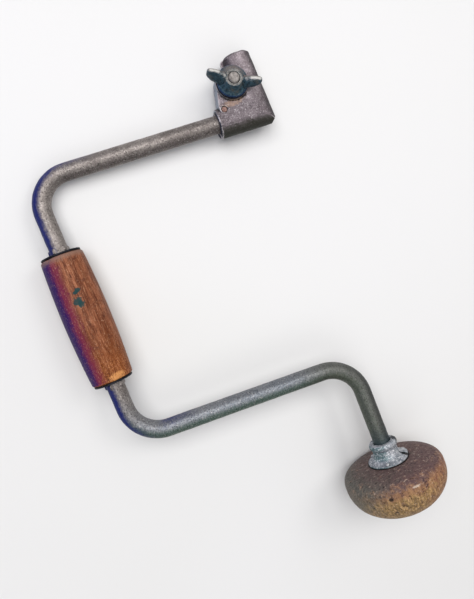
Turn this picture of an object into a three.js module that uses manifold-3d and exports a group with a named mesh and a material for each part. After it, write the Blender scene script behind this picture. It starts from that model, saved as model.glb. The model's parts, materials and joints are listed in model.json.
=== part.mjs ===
// A carpenter's hand brace with an L-shaped clamp chuck, in millimetres.
//
// The brace is drawn flat first: +Y runs along the brace axis from the knob to the chuck, the crank
// lies in the XY plane with its handle at -X, and Y = 0 is the middle of the knob. The whole tool is
// then laid down on its three natural feet (knob rim, handle, bolt head), with +Z up and the origin
// in the middle of the footprint, at floor level.
import * as THREE from 'three';
import { mergeVertices } from 'three/addons/utils/BufferGeometryUtils.js';
import Module from 'manifold-3d';

const wasm = await Module();
wasm.setup();

// Running gap between pieces that touch or turn on each other.
const GAP = 0.3;

// Crank: a half-inch round bar with three bends.
const ROD_RADIUS = 6.35;
const THROW = 164.3;
const UPPER_ARM_Y = 290.8;
const UPPER_ARM_SLOPE = 0.0391;
const LOWER_ARM_Y = 95.6;
const LOWER_ARM_SLOPE = 0.0742;
const BEND_RADII = [23.1, 24.7, 26.1];
const ARM_END_X = 7;

// Handle: a barrel-shaped wooden sleeve between two thin washers and two rings of swaged nibs.
const HANDLE_Y = 198.5;
const HANDLE_HALF_LENGTH = 45.6;
const HANDLE_MID_RADIUS = 16.15;
const HANDLE_END_RADIUS = 14.6;
const HANDLE_BORE_RADIUS = ROD_RADIUS + 0.4;
const HANDLE_EDGE_ROUND = 1.6;
const HANDLE_WASHER_RADIUS = 13.7;
const HANDLE_WASHER_THICK = 1.2;
const NIB_COUNT = 5;
const NIB_SIZE = new THREE.Vector3(2.2, 4.4, 2.4);
const NIB_TURN = THREE.MathUtils.degToRad(-28);

// Knob: widest a little above its middle, flatter towards the ferrule, domed towards the palm.
const KNOB_RADIUS = 38.2;
const KNOB_WIDEST_Y = 2.7;
const KNOB_FERRULE_DEPTH = 12.6;
const KNOB_PALM_DEPTH = 27.1;
const KNOB_FERRULE_POWER = 3.4;
const KNOB_PALM_POWER = 2.17;
const KNOB_RECESS_RADIUS = 10.8;
const KNOB_RECESS_FLOOR_Y = 7.9;

// Ferrule: flange, waisted neck and bead.
const FERRULE_SEAT_Y = 15.2;
const FLANGE_RADIUS = 15.4;
const FLANGE_THICK = 1.6;
const NECK_RADIUS = 9.4;
const NECK_Y = 23.4;
const BEAD_RADIUS = 10.6;
const BEAD_Y = 28.1;
const BEAD_HALF_HEIGHT = 2.3;
const FLANGE_SLIT = 0.7;
const FLANGE_SLIT_TURN = THREE.MathUtils.degToRad(38);
const NAIL_COUNT = 3;
const NAIL_CIRCLE_RADIUS = 13.5;
const NAIL_SHANK_RADIUS = 1.1;
const NAIL_LENGTH = 9;
const NAIL_HEAD_RADIUS = 1.7;
const NAIL_HEAD_THICK = 0.9;
const FIRST_NAIL_TURN = THREE.MathUtils.degToRad(117);

// Spindle end: riveted over a washer under the ferrule.
const SPINDLE_NECK_RADIUS = 4.2;
const SPINDLE_RIVET_RADIUS = 6;
const SPINDLE_RIVET_THICK = 2;
const SPINDLE_WASHER_RADIUS = 9.6;
const SPINDLE_WASHER_THICK = 2;
const THRUST_DISC_RADIUS = 10.4;
const THRUST_DISC_THICK = 2.2;

// Chuck casting: a lower barrel on the crank's arm, an upper barrel on the brace axis, and a round
// lobe for the bolt in the inner corner, split in two shells along the crank's plane. For each shell:
// its depth off that plane, half the width of its lower barrel, half the width of its upper barrel at
// the mouth, and how far the mouth's middle lies off the brace axis.
const FRONT = { thick: 10, armHalf: 10.4, mouthHalf: 10.2, mouthShift: 0.4 };
const REAR = { thick: 9.6, armHalf: 9.9, mouthHalf: 11.1, mouthShift: -0.3 };
const BARREL_OFFSET_Y = -0.6;
const BARREL_OPEN_X = -29.5;
const MOUTH_Y = 333;
const CORNER_HALF_WIDTH = 12.8;
const EDGE_CHAMFER = 1.4;
const SECTION_POWER = 2.3;
const SECTION_POINTS = 32;
const CORNER_CHAMFER = 5.2;
const MITRE_LAP = 0.1;
const PARTING_GAP = 1.4;
const SOCKET_MOUTH_SIDE = 9.6;
const SOCKET_FLOOR_SIDE = 7.2;
const SOCKET_FLOOR_Y = 303.5;

// Clamp bolt, washer and wing nut, on an axis square to the crank's plane.
const BOLT_X = -11.5;
const BOLT_Y = 313.2;
const BOLT_RADIUS = 3.95;
const BOLT_END_Z = 21.6;
const BOLT_SQUARE_SIDE = 7.8;
const BOLT_SQUARE_DEPTH = 4;
const BOLT_HEAD_RADIUS = 8.4;
const BOLT_HEAD_THICK = 2.9;
const BOLT_HEAD_SEAT_Z = -8.6;
const LOBE_RADIUS = 11.6;
const LOBE_FRONT_Z = 10.3;
const WEB_FRONT_Z = 9.4;
const WEB_FOOT_X = -26.3;
const WEB_FOOT_Y = 300.8;
const WEB_FRONT_DRAFT = 0.02;
const WEB_REAR_DRAFT = 0.13;
const WASHER_RADIUS = 11.4;
const WASHER_THICK = 1.4;
const NUT_SKIRT_RADIUS = 11;
const NUT_SKIRT_THICK = 2.4;
const NUT_HUB_RADIUS = 6.4;
const NUT_HEIGHT = 8.4;
const WING_TURN = THREE.MathUtils.degToRad(154);

// The wing from the hub outwards: lower and upper edge, and half its thickness at both.
const WING_STATIONS = [
  { out: 4.8, low: 0.8, high: 7.2, foot: 5.4, ridge: 1.9 },
  { out: 8, low: 0.6, high: 9.4, foot: 5.8, ridge: 1.9 },
  { out: 10.8, low: 0.6, high: 12, foot: 5, ridge: 2 },
  { out: 14.8, low: 1.8, high: 13, foot: 3.7, ridge: 2.1 },
  { out: 17.6, low: 4.2, high: 12.9, foot: 2.4, ridge: 2 },
  { out: 19, low: 7, high: 11.6, foot: 1.5, ridge: 1.3 },
];

// One wing of the casting stands taller than the other.
const WING_STRETCHES = [1.16, 1];

// Guide pin through both shells and a notch in the arm's side.
const PIN_X = -22.8;
const PIN_Y = 298.2;
const PIN_RADIUS = 2;
const PIN_BACK_Z = -8.4;
const PIN_FRONT_Z = 9.4;

const FULL_TURN = 2 * Math.PI;

// ---- solids ----

// A closed manifold solid from any closed three.js geometry.
function solidOf(geometry) {
  const bare = geometry.clone();
  bare.deleteAttribute('normal');
  bare.deleteAttribute('uv');
  const welded = mergeVertices(bare, 1e-4);
  const corners = welded.index.array;
  const kept = [];
  for (let i = 0; i < corners.length; i += 3) {
    const [a, b, c] = corners.slice(i, i + 3);
    if (a !== b && b !== c && c !== a) kept.push(a, b, c);
  }
  return new wasm.Manifold(new wasm.Mesh({
    numProp: 3,
    vertProperties: new Float32Array(welded.attributes.position.array),
    triVerts: new Uint32Array(kept),
  }));
}

function geometryOf(solid) {
  const mesh = solid.getMesh();
  const geometry = new THREE.BufferGeometry();
  geometry.setAttribute('position', new THREE.BufferAttribute(mesh.vertProperties, 3));
  geometry.setIndex(new THREE.BufferAttribute(mesh.triVerts, 1));
  geometry.computeVertexNormals();
  return geometry;
}

// A round body about the Y axis. The profile is a list of [radius, y] going up the outside.
function revolved(profile, segments) {
  const points = profile.map(([radius, y]) => new THREE.Vector2(radius, y));
  return new THREE.LatheGeometry(points, segments);
}

// The same ring profile for every plain washer: bore, thickness and a flat outside.
function ring(boreRadius, radius, low, high, segments) {
  return revolved(
    [[boreRadius, low], [radius, low], [radius, high], [boreRadius, high], [boreRadius, low]],
    segments,
  );
}

function cylinderAlongY(radius, low, high, segments = 32) {
  const geometry = new THREE.CylinderGeometry(radius, radius, high - low, segments);
  return geometry.translate(0, (low + high) / 2, 0);
}

function cylinderAlongZ(radius, low, high, segments = 32) {
  return cylinderAlongY(radius, low, high, segments).rotateX(Math.PI / 2);
}

function boxBetween(low, high) {
  const size = new THREE.Vector3().subVectors(high, low);
  const middle = new THREE.Vector3().addVectors(low, high).multiplyScalar(0.5);
  return new THREE.BoxGeometry(size.x, size.y, size.z).translate(middle.x, middle.y, middle.z);
}

// ---- crank ----

// Centre line of a bent bar: straight runs joined by circular bends. A station is placed only where
// the bar starts, ends or bends, so the sweep spends no faces on straight metal.
class BentBarPath extends THREE.Curve {
  constructor(corners, bendRadii, bendSteps) {
    super();
    this.stations = [];
    const first = corners[1].clone().sub(corners[0]).normalize();
    this.stations.push({ point: corners[0], tangent: first });
    bendRadii.forEach((radius, i) => this.addBend(...corners.slice(i, i + 3), radius, bendSteps));
    const last = corners.at(-1).clone().sub(corners.at(-2)).normalize();
    this.stations.push({ point: corners.at(-1), tangent: last });
  }

  addBend(before, corner, after, radius, steps) {
    const into = corner.clone().sub(before).normalize();
    const out = after.clone().sub(corner).normalize();
    const turn = into.angleTo(out);
    const start = corner.clone().addScaledVector(into, -radius * Math.tan(turn / 2));
    const inward = out.clone().addScaledVector(into, -out.dot(into)).normalize();
    for (let step = 0; step <= steps; step += 1) {
      const angle = (turn * step) / steps;
      const point = start.clone();
      point.addScaledVector(into, radius * Math.sin(angle));
      point.addScaledVector(inward, radius * (1 - Math.cos(angle)));
      const tangent = into.clone().multiplyScalar(Math.cos(angle));
      tangent.addScaledVector(inward, Math.sin(angle));
      this.stations.push({ point, tangent });
    }
  }

  stationAt(t) {
    return this.stations[Math.round(t * (this.stations.length - 1))];
  }

  getPointAt(t) {
    return this.stationAt(t).point.clone();
  }

  getTangentAt(t) {
    return this.stationAt(t).tangent.clone();
  }
}

function upperArmY(x) {
  return UPPER_ARM_Y - UPPER_ARM_SLOPE * x;
}

function lowerArmY(x) {
  return LOWER_ARM_Y - LOWER_ARM_SLOPE * x;
}

const SPINDLE_SHOULDER_Y = FERRULE_SEAT_Y + GAP;
const SPINDLE_WASHER_TOP_Y = FERRULE_SEAT_Y;
const RIVET_TOP_Y = SPINDLE_WASHER_TOP_Y - SPINDLE_WASHER_THICK - GAP;
const RIVET_END_Y = RIVET_TOP_Y - SPINDLE_RIVET_THICK;

function spindleEnd() {
  const neck = cylinderAlongY(SPINDLE_NECK_RADIUS, RIVET_TOP_Y - 1, SPINDLE_SHOULDER_Y + 1, 24);
  const rivet = cylinderAlongY(SPINDLE_RIVET_RADIUS, RIVET_END_Y, RIVET_TOP_Y, 24);
  return solidOf(neck).add(solidOf(rivet));
}

// Nibs raised on the bar just outside both handle washers, so that the sleeve cannot creep.
function handleNibs() {
  const reach = HANDLE_HALF_LENGTH + GAP + HANDLE_WASHER_THICK + GAP + NIB_SIZE.y / 2;
  const nibs = [];
  for (const side of [-1, 1]) {
    for (let i = 0; i < NIB_COUNT; i += 1) {
      const nib = new THREE.BoxGeometry(NIB_SIZE.x, NIB_SIZE.y, NIB_SIZE.z);
      nib.translate(0, 0, ROD_RADIUS);
      nib.rotateY(NIB_TURN + (FULL_TURN * i) / NIB_COUNT);
      nib.translate(-THROW, HANDLE_Y + side * reach, 0);
      nibs.push(solidOf(nib));
    }
  }
  return nibs.reduce((all, nib) => all.add(nib));
}

function crankRod() {
  const corners = [
    [ARM_END_X, upperArmY(ARM_END_X)],
    [-THROW, upperArmY(-THROW)],
    [-THROW, lowerArmY(-THROW)],
    [0, LOWER_ARM_Y],
    [0, SPINDLE_SHOULDER_Y],
  ].map(([x, y]) => new THREE.Vector3(x, y, 0));
  const path = new BentBarPath(corners, BEND_RADII, 9);
  const section = new THREE.Shape().absarc(0, 0, ROD_RADIUS, 0, FULL_TURN, false);
  const bar = new THREE.ExtrudeGeometry(section, {
    steps: path.stations.length - 1,
    curveSegments: 12,
    extrudePath: path,
  });
  const notch = cylinderAlongZ(PIN_RADIUS + GAP, -2 * ROD_RADIUS, 2 * ROD_RADIUS, 16);
  notch.translate(PIN_X, PIN_Y, 0);
  return geometryOf(solidOf(bar).add(spindleEnd()).add(handleNibs()).subtract(solidOf(notch)));
}

// ---- handle ----

function handleSleeve() {
  const barrel = [];
  const straight = HANDLE_HALF_LENGTH - HANDLE_EDGE_ROUND;
  for (let i = 0; i <= 10; i += 1) {
    const along = -1 + i / 5;
    const bulge = (HANDLE_MID_RADIUS - HANDLE_END_RADIUS) * (1 - along * along);
    barrel.push([HANDLE_END_RADIUS + bulge, straight * along]);
  }
  const faceRadius = HANDLE_END_RADIUS - HANDLE_EDGE_ROUND;
  const shoulder = HANDLE_EDGE_ROUND * Math.SQRT1_2;
  const profile = [
    [HANDLE_BORE_RADIUS, -HANDLE_HALF_LENGTH],
    [faceRadius, -HANDLE_HALF_LENGTH],
    [faceRadius + shoulder, -straight - shoulder],
    ...barrel,
    [faceRadius + shoulder, straight + shoulder],
    [faceRadius, HANDLE_HALF_LENGTH],
    [HANDLE_BORE_RADIUS, HANDLE_HALF_LENGTH],
    [HANDLE_BORE_RADIUS, -HANDLE_HALF_LENGTH],
  ];
  return revolved(profile, 36);
}

function handleWasher(side) {
  const inner = side * (HANDLE_HALF_LENGTH + GAP);
  const outer = side * (HANDLE_HALF_LENGTH + GAP + HANDLE_WASHER_THICK);
  return ring(
    HANDLE_BORE_RADIUS, HANDLE_WASHER_RADIUS, Math.min(inner, outer), Math.max(inner, outer), 36,
  );
}

// ---- knob ----

// One quarter of a superellipse, from the widest circle to the pole.
function superellipseQuarter(radius, depth, power, steps) {
  const points = [];
  for (let i = 0; i <= steps; i += 1) {
    const angle = ((Math.PI / 2) * i) / steps;
    const out = radius * Math.cos(angle) ** (2 / power);
    const along = depth * Math.sin(angle) ** (2 / power);
    points.push([out, along]);
  }
  return points;
}

function nailPlaces() {
  const places = [];
  for (let i = 0; i < NAIL_COUNT; i += 1) {
    const angle = FIRST_NAIL_TURN + (FULL_TURN * i) / NAIL_COUNT;
    places.push([NAIL_CIRCLE_RADIUS * Math.cos(angle), NAIL_CIRCLE_RADIUS * Math.sin(angle)]);
  }
  return places;
}

const FLANGE_TOP_Y = FERRULE_SEAT_Y + GAP + FLANGE_THICK;
const NAIL_TIP_Y = FLANGE_TOP_Y - NAIL_LENGTH;

// One cylinder at each nail, for its shank's hole or its head's seat.
function nailCutters(radius, low, high) {
  const cutters = nailPlaces().map(([x, z]) => {
    return solidOf(cylinderAlongY(radius, low, high, 12).translate(x, 0, z));
  });
  return cutters.reduce((all, cutter) => all.add(cutter));
}

function nailHoles() {
  return nailCutters(NAIL_SHANK_RADIUS + GAP, NAIL_TIP_Y - GAP, FLANGE_TOP_Y + 1);
}

function nailSeats() {
  return nailCutters(NAIL_HEAD_RADIUS + GAP, FLANGE_TOP_Y, FLANGE_TOP_Y + 4);
}

function knobHead() {
  const palm = superellipseQuarter(KNOB_RADIUS, KNOB_PALM_DEPTH, KNOB_PALM_POWER, 10)
    .map(([radius, along]) => [radius, KNOB_WIDEST_Y - along])
    .reverse();
  const top = superellipseQuarter(KNOB_RADIUS, KNOB_FERRULE_DEPTH, KNOB_FERRULE_POWER, 10)
    .map(([radius, along]) => [radius, KNOB_WIDEST_Y + along])
    .filter(([radius, y]) => radius > KNOB_RECESS_RADIUS && y < FERRULE_SEAT_Y)
    .slice(1);
  const profile = [
    [0, KNOB_WIDEST_Y - KNOB_PALM_DEPTH],
    ...palm.slice(1),
    ...top,
    [FLANGE_RADIUS + 1, FERRULE_SEAT_Y],
    [KNOB_RECESS_RADIUS, FERRULE_SEAT_Y],
    [KNOB_RECESS_RADIUS, KNOB_RECESS_FLOOR_Y],
    [0, KNOB_RECESS_FLOOR_Y],
  ];
  return geometryOf(solidOf(revolved(profile, 48)).subtract(nailHoles()));
}

function ferruleProfile() {
  const bore = ROD_RADIUS + GAP;
  const low = FERRULE_SEAT_Y + GAP;
  const sweep = new THREE.QuadraticBezierCurve(
    new THREE.Vector2(FLANGE_RADIUS - 1.4, FLANGE_TOP_Y),
    new THREE.Vector2(NECK_RADIUS + 0.2, FLANGE_TOP_Y + 0.6),
    new THREE.Vector2(NECK_RADIUS, NECK_Y),
  ).getPoints(5);
  const bead = new THREE.EllipseCurve(
    NECK_RADIUS, BEAD_Y, BEAD_RADIUS - NECK_RADIUS, BEAD_HALF_HEIGHT, -Math.PI / 2, Math.PI / 2,
  ).getPoints(8);
  return [
    [bore, low],
    [FLANGE_RADIUS, low],
    [FLANGE_RADIUS, FLANGE_TOP_Y - 0.5],
    ...sweep.map((point) => point.toArray()),
    ...bead.map((point) => point.toArray()),
    [bore, BEAD_Y + BEAD_HALF_HEIGHT],
    [bore, low],
  ];
}

function knobFerrule() {
  const slit = boxBetween(
    new THREE.Vector3(NECK_RADIUS + 1, FERRULE_SEAT_Y - 1, -FLANGE_SLIT / 2),
    new THREE.Vector3(FLANGE_RADIUS + 1, NECK_Y, FLANGE_SLIT / 2),
  ).rotateY(-FLANGE_SLIT_TURN);
  const body = solidOf(revolved(ferruleProfile(), 36));
  return geometryOf(body.subtract(solidOf(slit)).subtract(nailHoles()).subtract(nailSeats()));
}

function ferruleNail() {
  const headLow = FLANGE_TOP_Y + GAP;
  return revolved([
    [0, NAIL_TIP_Y],
    [NAIL_SHANK_RADIUS, NAIL_TIP_Y + 1.5],
    [NAIL_SHANK_RADIUS, headLow],
    [NAIL_HEAD_RADIUS, headLow],
    [NAIL_HEAD_RADIUS * 0.7, headLow + NAIL_HEAD_THICK],
    [0, headLow + NAIL_HEAD_THICK],
  ], 12);
}

function spindleWasher() {
  const low = SPINDLE_WASHER_TOP_Y - SPINDLE_WASHER_THICK;
  return ring(SPINDLE_NECK_RADIUS + GAP, SPINDLE_WASHER_RADIUS, low, SPINDLE_WASHER_TOP_Y, 24);
}

function thrustDisc() {
  const low = KNOB_RECESS_FLOOR_Y + GAP;
  return cylinderAlongY(THRUST_DISC_RADIUS, low, low + THRUST_DISC_THICK, 24);
}

// ---- chuck ----

// Unit section of the casting, drawn in XY: a superellipse, so flats blend into round shoulders.
function castingSection() {
  const points = [];
  for (let i = 0; i < SECTION_POINTS; i += 1) {
    const angle = (FULL_TURN * i) / SECTION_POINTS;
    const x = Math.sign(Math.cos(angle)) * Math.abs(Math.cos(angle)) ** (2 / SECTION_POWER);
    const y = Math.sign(Math.sin(angle)) * Math.abs(Math.sin(angle)) ** (2 / SECTION_POWER);
    points.push(new THREE.Vector2(x, y));
  }
  return new THREE.Shape(points);
}

// The unit section carried through stations along +Z. Each station has its height and a function
// that shapes the unit section there.
function lofted(stations) {
  const last = stations.length - 1;
  const geometry = new THREE.ExtrudeGeometry(castingSection(), {
    depth: last,
    steps: last,
    bevelEnabled: false,
  });
  const position = geometry.attributes.position;
  for (let i = 0; i < position.count; i += 1) {
    const { at, shaped } = stations[Math.round(position.getZ(i))];
    const [x, y] = shaped(position.getX(i), position.getY(i));
    position.setXYZ(i, x, y, at);
  }
  return geometry;
}

function stretched(half, thick, middle = 0) {
  return (x, y) => [middle + x * half, y * thick];
}

// Upper barrel on the brace axis, from below the outer corner up to the chamfered mouth.
function upperBarrel({ thick, mouthHalf, mouthShift }, foot) {
  const lipHalf = mouthHalf - EDGE_CHAMFER;
  const geometry = lofted([
    { at: foot, shaped: stretched(CORNER_HALF_WIDTH, thick) },
    { at: MOUTH_Y - EDGE_CHAMFER, shaped: stretched(mouthHalf, thick, mouthShift) },
    { at: MOUTH_Y, shaped: stretched(lipHalf, thick - EDGE_CHAMFER, mouthShift) },
  ]);
  return solidOf(geometry.rotateX(-Math.PI / 2));
}

// Lower barrel on the crank's arm, from its open end to beyond the outer corner.
function lowerBarrel({ thick, armHalf }, reach) {
  const open = -BARREL_OPEN_X;
  const lip = EDGE_CHAMFER / 2;
  const geometry = lofted([
    { at: -reach, shaped: stretched(armHalf, thick) },
    { at: open - lip, shaped: stretched(armHalf, thick) },
    { at: open, shaped: stretched(armHalf - lip, thick - lip) },
  ]);
  geometry.rotateX(-Math.PI / 2);
  geometry.rotateZ(Math.PI / 2 - Math.atan(UPPER_ARM_SLOPE));
  geometry.translate(0, UPPER_ARM_Y + BARREL_OFFSET_Y, 0);
  return solidOf(geometry);
}

// A prism over the XY plane, tall enough to cut the whole casting.
function tallPrism(points) {
  const shape = new THREE.Shape(points.map(([x, y]) => new THREE.Vector2(x, y)));
  const geometry = new THREE.ExtrudeGeometry(shape, { depth: 60, bevelEnabled: false });
  return solidOf(geometry.translate(0, 0, -30));
}

// The two barrels meet on a mitre from the outer corner to the inner one, and the outer corner is
// chamfered.
function elbow(shell) {
  const centreY = UPPER_ARM_Y + BARREL_OFFSET_Y;
  const outer = [CORNER_HALF_WIDTH, centreY - shell.armHalf];
  const inner = [-CORNER_HALF_WIDTH, centreY + shell.armHalf];
  const stretch = (from, to, times) => [
    from[0] + (to[0] - from[0]) * times,
    from[1] + (to[1] - from[1]) * times,
  ];
  const farOut = stretch(inner, outer, 4);
  const farIn = stretch(outer, inner, 4);
  const lapped = ([x, y]) => [x, y + MITRE_LAP];
  const below = tallPrism([lapped(farIn), [farIn[0], farOut[1]], lapped(farOut)]);
  const above = tallPrism([farOut, [farOut[0], farIn[1]], farIn]);
  const run = upperBarrel(shell, centreY - 2 * shell.armHalf).intersect(above);
  const arm = lowerBarrel(shell, 2 * CORNER_HALF_WIDTH).intersect(below);
  const chamfer = tallPrism([
    [outer[0] + CORNER_CHAMFER, outer[1] - CORNER_CHAMFER],
    [outer[0] + CORNER_CHAMFER, outer[1] + CORNER_CHAMFER],
    [outer[0] + 1, outer[1] + CORNER_CHAMFER],
    [outer[0] - CORNER_CHAMFER, outer[1] - 1],
    [outer[0] - CORNER_CHAMFER, outer[1] - CORNER_CHAMFER],
  ]);
  return run.add(arm).subtract(chamfer);
}

// Web between the barrels, round at the bolt. Its sides draw in away from the parting plane.
function web(low, high, draft) {
  const outline = new THREE.Shape();
  outline.moveTo(0, UPPER_ARM_Y);
  outline.lineTo(WEB_FOOT_X, UPPER_ARM_Y);
  outline.lineTo(WEB_FOOT_X, WEB_FOOT_Y);
  outline.absarc(BOLT_X, BOLT_Y, LOBE_RADIUS, Math.PI, -0.1, true);
  const depth = high - low;
  const geometry = new THREE.ExtrudeGeometry(outline, {
    depth,
    curveSegments: 24,
    bevelEnabled: false,
  });
  geometry.translate(0, 0, low);
  const position = geometry.attributes.position;
  for (let i = 0; i < position.count; i += 1) {
    const scale = 1 - (draft * Math.abs(position.getZ(i))) / depth;
    const x = BOLT_X + (position.getX(i) - BOLT_X) * scale;
    const y = BOLT_Y + (position.getY(i) - BOLT_Y) * scale;
    position.setXY(i, x, y);
  }
  return solidOf(geometry);
}

// Low boss that the clamp washer sits on.
function boss() {
  const round = cylinderAlongZ(LOBE_RADIUS, WEB_FRONT_Z - 1, LOBE_FRONT_Z, 48);
  return solidOf(round.translate(BOLT_X, BOLT_Y, 0));
}

// Square socket for a tapered tang, standing on its edge so that each shell holds a V groove.
function tangSocket() {
  const length = MOUTH_Y - SOCKET_FLOOR_Y;
  const flare = (SOCKET_MOUTH_SIDE - SOCKET_FLOOR_SIDE) / length;
  const overshoot = 2;
  const mouth = (SOCKET_MOUTH_SIDE + flare * overshoot) * Math.SQRT1_2;
  const floor = SOCKET_FLOOR_SIDE * Math.SQRT1_2;
  const geometry = new THREE.CylinderGeometry(mouth, floor, length + overshoot, 4);
  return solidOf(geometry.translate(0, SOCKET_FLOOR_Y + (length + overshoot) / 2, 0));
}

// Round channel for the crank's arm.
function armChannel() {
  const channel = cylinderAlongY(ROD_RADIUS + GAP, -ARM_END_X - GAP, 2 - BARREL_OPEN_X, 32);
  channel.rotateZ(Math.PI / 2 - Math.atan(UPPER_ARM_SLOPE));
  return solidOf(channel.translate(0, UPPER_ARM_Y, 0));
}

function pinHole() {
  const hole = cylinderAlongZ(PIN_RADIUS + GAP, -20, 20, 16);
  return solidOf(hole.translate(PIN_X, PIN_Y, 0));
}

function squareBoltHole() {
  const half = BOLT_SQUARE_SIDE / 2 + GAP;
  const hole = boxBetween(
    new THREE.Vector3(BOLT_X - half, BOLT_Y - half, -20),
    new THREE.Vector3(BOLT_X + half, BOLT_Y + half, 20),
  );
  return solidOf(hole);
}

function roundBoltHole() {
  const hole = cylinderAlongZ(BOLT_RADIUS + GAP, -20, 20, 24);
  return solidOf(hole.translate(BOLT_X, BOLT_Y, 0));
}

function headSeat() {
  const seat = cylinderAlongZ(BOLT_HEAD_RADIUS + 1, -20, BOLT_HEAD_SEAT_Z, 32);
  return solidOf(seat.translate(BOLT_X, BOLT_Y, 0));
}

function slab(low, high) {
  return solidOf(boxBetween(
    new THREE.Vector3(-60, UPPER_ARM_Y - 60, low),
    new THREE.Vector3(60, UPPER_ARM_Y + 60, high),
  ));
}

function hollowed(shell) {
  return shell.subtract(tangSocket()).subtract(armChannel()).subtract(pinHole());
}

function frontShell() {
  const whole = elbow(FRONT).add(web(0, WEB_FRONT_Z, WEB_FRONT_DRAFT)).add(boss());
  const half = whole.intersect(slab(PARTING_GAP / 2, 30));
  return geometryOf(hollowed(half).subtract(roundBoltHole()));
}

function rearShell() {
  const whole = elbow(REAR).add(web(-REAR.thick, 0, WEB_REAR_DRAFT));
  const half = whole.intersect(slab(-30, -PARTING_GAP / 2));
  return geometryOf(hollowed(half).subtract(squareBoltHole()).subtract(headSeat()));
}

// ---- clamp ----

function clampBolt() {
  const headTop = BOLT_HEAD_SEAT_Z - GAP;
  const rim = headTop - 0.4 * BOLT_HEAD_THICK;
  const crown = headTop - BOLT_HEAD_THICK;
  const turned = revolved([
    [0, crown],
    [0.62 * BOLT_HEAD_RADIUS, crown + 0.12 * BOLT_HEAD_THICK],
    [0.9 * BOLT_HEAD_RADIUS, crown + 0.36 * BOLT_HEAD_THICK],
    [BOLT_HEAD_RADIUS, rim],
    [BOLT_HEAD_RADIUS, headTop],
    [BOLT_RADIUS, headTop],
    [BOLT_RADIUS, BOLT_END_Z - 0.8],
    [BOLT_RADIUS - 0.8, BOLT_END_Z],
    [0, BOLT_END_Z],
  ], 32).rotateX(Math.PI / 2);
  const half = BOLT_SQUARE_SIDE / 2;
  const square = boxBetween(
    new THREE.Vector3(-half, -half, headTop - 0.2),
    new THREE.Vector3(half, half, headTop + BOLT_SQUARE_DEPTH),
  );
  return geometryOf(solidOf(turned).add(solidOf(square)));
}

function clampWasher() {
  const low = LOBE_FRONT_Z + GAP;
  return ring(BOLT_RADIUS + GAP, WASHER_RADIUS, low, low + WASHER_THICK, 36).rotateX(Math.PI / 2);
}

const NUT_BASE_Z = LOBE_FRONT_Z + GAP + WASHER_THICK + GAP;

// One wing pointing along +X: thick at its foot, thin at its ridge, rounded at its tip. Its height
// is stretched by a factor.
function wing(stretch) {
  const geometry = lofted(WING_STATIONS.map(({ out, low, high, foot, ridge }) => ({
    at: out,
    shaped: (x, y) => {
      const rise = (y + 1) / 2;
      const height = THREE.MathUtils.lerp(low, high * stretch, rise);
      return [x * THREE.MathUtils.lerp(foot, ridge, rise), height];
    },
  })));
  return geometry.rotateX(Math.PI / 2).rotateZ(Math.PI / 2);
}

function wingNut() {
  const bore = BOLT_RADIUS + GAP;
  const flank = new THREE.QuadraticBezierCurve(
    new THREE.Vector2(NUT_SKIRT_RADIUS - 0.5, NUT_SKIRT_THICK),
    new THREE.Vector2(NUT_HUB_RADIUS + 1.6, NUT_SKIRT_THICK + 1.6),
    new THREE.Vector2(NUT_HUB_RADIUS, NUT_HEIGHT - 0.6),
  ).getPoints(6);
  const body = revolved([
    [bore, 0],
    [NUT_SKIRT_RADIUS, 0],
    [NUT_SKIRT_RADIUS, NUT_SKIRT_THICK - 0.5],
    ...flank.map((point) => point.toArray()),
    [NUT_HUB_RADIUS - 0.6, NUT_HEIGHT],
    [bore, NUT_HEIGHT],
    [bore, 0],
  ], 36).rotateX(Math.PI / 2);
  let nut = solidOf(body);
  WING_STRETCHES.forEach((stretch, i) => {
    nut = nut.add(solidOf(wing(stretch).rotateZ(Math.PI * i)));
  });
  return geometryOf(nut);
}

function guidePin() {
  const chamfer = 0.5;
  return revolved([
    [0, PIN_BACK_Z],
    [PIN_RADIUS - chamfer, PIN_BACK_Z],
    [PIN_RADIUS, PIN_BACK_Z + chamfer],
    [PIN_RADIUS, PIN_FRONT_Z - chamfer],
    [PIN_RADIUS - chamfer, PIN_FRONT_Z],
    [0, PIN_FRONT_Z],
  ], 16).rotateX(Math.PI / 2);
}

// ---- materials ----

function finish(color, roughness, metalness) {
  return new THREE.MeshStandardMaterial({ color, roughness, metalness });
}

const darkSteel = () => finish(0x57534f, 0.62, 0.85);
const castIron = () => finish(0x635a5c, 0.66, 0.8);
const nutIron = () => finish(0x2c3a40, 0.55, 0.85);
const brightSteel = () => finish(0x9c9a96, 0.45, 0.9);
const rustySteel = () => finish(0x7b4c38, 0.8, 0.5);
const greyZinc = () => finish(0x9aa0a3, 0.5, 0.85);
const handleWood = () => finish(0x8a4a26, 0.55, 0);
const knobWood = () => finish(0x7a5636, 0.6, 0);

// ---- assembly ----

const brace = new THREE.Group();

function place(name, geometry, material, x = 0, y = 0, z = 0) {
  const mesh = new THREE.Mesh(geometry, material);
  mesh.name = name;
  mesh.position.set(x, y, z);
  brace.add(mesh);
  return mesh;
}

place('crank_rod', crankRod(), darkSteel());

const handle = place('handle_sleeve', handleSleeve(), handleWood(), -THROW, HANDLE_Y);
place('handle_upper_washer', handleWasher(1), darkSteel(), -THROW, HANDLE_Y);
place('handle_lower_washer', handleWasher(-1), darkSteel(), -THROW, HANDLE_Y);

const knob = place('knob_head', knobHead(), knobWood());
place('knob_ferrule', knobFerrule(), greyZinc());
nailPlaces().forEach(([x, z], i) => {
  place(`ferrule_nail_${i + 1}`, ferruleNail(), brightSteel(), x, 0, z);
});
place('spindle_washer', spindleWasher(), darkSteel());
place('knob_thrust_disc', thrustDisc(), brightSteel());

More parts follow.
